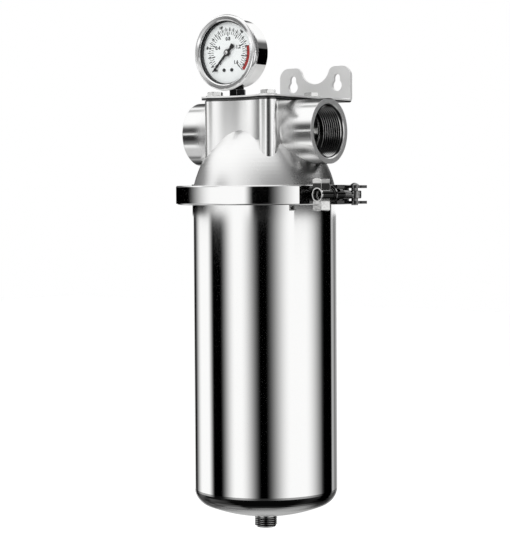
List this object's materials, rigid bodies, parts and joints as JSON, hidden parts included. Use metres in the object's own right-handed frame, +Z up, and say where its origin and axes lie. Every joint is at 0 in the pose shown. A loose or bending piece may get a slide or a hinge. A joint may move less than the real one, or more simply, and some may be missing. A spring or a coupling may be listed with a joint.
{
  "type": "inline water pre-filter",
  "caption": "Inline water pre-filter: cast stainless head with side ports, pressure gauge and wall bracket, and a polished bowl held by a bolted clamp round a mesh cartridge.",
  "frame": {"origin": "on the wall face of the bracket, midway between the two keyholes' entry holes", "axes": "+X along the ports to the outlet, +Y into the wall, +Z up along the bowl's axis"},
  "size_m": [0.2029, 0.1686, 0.4762],
  "materials": {
    "cast_steel": "satin cast stainless steel, bead blasted and lightly polished",
    "bracket_steel": "fine brushed stainless sheet",
    "fastener_steel": "bright stainless",
    "mirror_steel": "mirror polished stainless steel",
    "machined_steel": "turned and threaded stainless steel",
    "clamp_steel": "mirror polished cast stainless steel",
    "bolt_steel": "machined stainless steel, threaded",
    "nut_steel": "polished cast stainless steel",
    "copper_seal": "soft copper sealing ring",
    "dark_fitting": "black plated brass",
    "gauge_steel": "polished stainless steel",
    "gauge_glass": "clear flat window",
    "dial_white": "white enamelled dial with printed scale",
    "pointer_black": "matt black enamel",
    "movement_brass": "stamped and machined brass",
    "black_rubber": "black moulded rubber",
    "cap_plastic": "moulded plastic end cap",
    "mesh_steel": "woven stainless mesh and perforated tube"
  },
  "bodies": {
    "vessel": {"head": "cast_steel", "wall_bracket": "bracket_steel", "bracket_bolts": "fastener_steel", "bracket_washers": "fastener_steel", "bowl_shell": "mirror_steel", "bowl_flange": "mirror_steel", "drain_nipple": "machined_steel", "flange_gasket": "black_rubber", "clamp_front_half": "clamp_steel", "clamp_rear_half": "clamp_steel", "clamp_hinge_pin": "fastener_steel", "swing_bolt_pin": "fastener_steel", "gauge_seal": "copper_seal", "gauge_socket": "dark_fitting", "gauge_case": "gauge_steel", "gauge_bezel": "gauge_steel", "gauge_glass": "gauge_glass", "gauge_gasket": "black_rubber", "gauge_dial": "dial_white", "dial_screws": "pointer_black", "pointer_stop": "pointer_black", "movement_plates": "movement_brass", "bourdon_tube": "movement_brass", "cartridge_top_cap": "cap_plastic", "cartridge_seal_rings": "black_rubber", "cartridge_screen": "mesh_steel", "cartridge_core": "mesh_steel", "cartridge_bottom_cap": "cap_plastic", "cartridge_spring": "fastener_steel"},
    "swing_bolt": {"swing_bolt": "bolt_steel"},
    "nut_washer": {"nut_washer": "fastener_steel"},
    "wing_nut": {"wing_nut": "nut_steel"},
    "pointer": {"pointer": "pointer_black", "pinion_arbor": "movement_brass"},
    "sector": {"sector_gear": "movement_brass"},
    "link": {"movement_link": "movement_brass"}
  },
  "joints": [
    {"name": "swing_bolt_hinge", "type": "hinge", "parent": "vessel", "child": "swing_bolt", "pos_m": [0.09853, -0.08499, -0.1043], "axis": [0, 0, 1], "range_deg": [0, 100]},
    {"name": "nut_travel", "type": "slide", "parent": "swing_bolt", "child": "nut_washer", "axis": [-0.1564, -0.9877, 0], "range_m": [0, 0.01]},
    {"name": "wing_nut_spin", "type": "hinge", "parent": "nut_washer", "child": "wing_nut", "pos_m": [0.09268, -0.12193, -0.1043], "axis": [-0.1564, -0.9877, 0], "range_deg": [0, 2880]},
    {"name": "sector_swing", "type": "hinge", "parent": "vessel", "child": "sector", "pos_m": [-0.03, -0.0952, 0.0109], "axis": [0, -1, 0], "range_deg": [0, 45], "stiffness_Nm_per_rad": 0.002, "springref_deg": -11.46},
    {"name": "pointer_turn", "type": "hinge", "parent": "vessel", "child": "pointer", "pos_m": [-0.03, -0.0952, 0.0277], "axis": [0, 1, 0], "range_deg": [0, 270]},
    {"name": "link_turn", "type": "hinge", "parent": "sector", "child": "link", "pos_m": [-0.0215, -0.0943, 0.0092], "axis": [0, -1, 0], "range_deg": [-45, 0]}
  ],
  "couplings": [
    {"joint": "wing_nut_spin", "follows": "nut_travel", "rad_per_m": 5026.5},
    {"joint": "pointer_turn", "follows": "sector_swing", "ratio": 6},
    {"joint": "link_turn", "follows": "sector_swing", "ratio": -1}
  ]
}
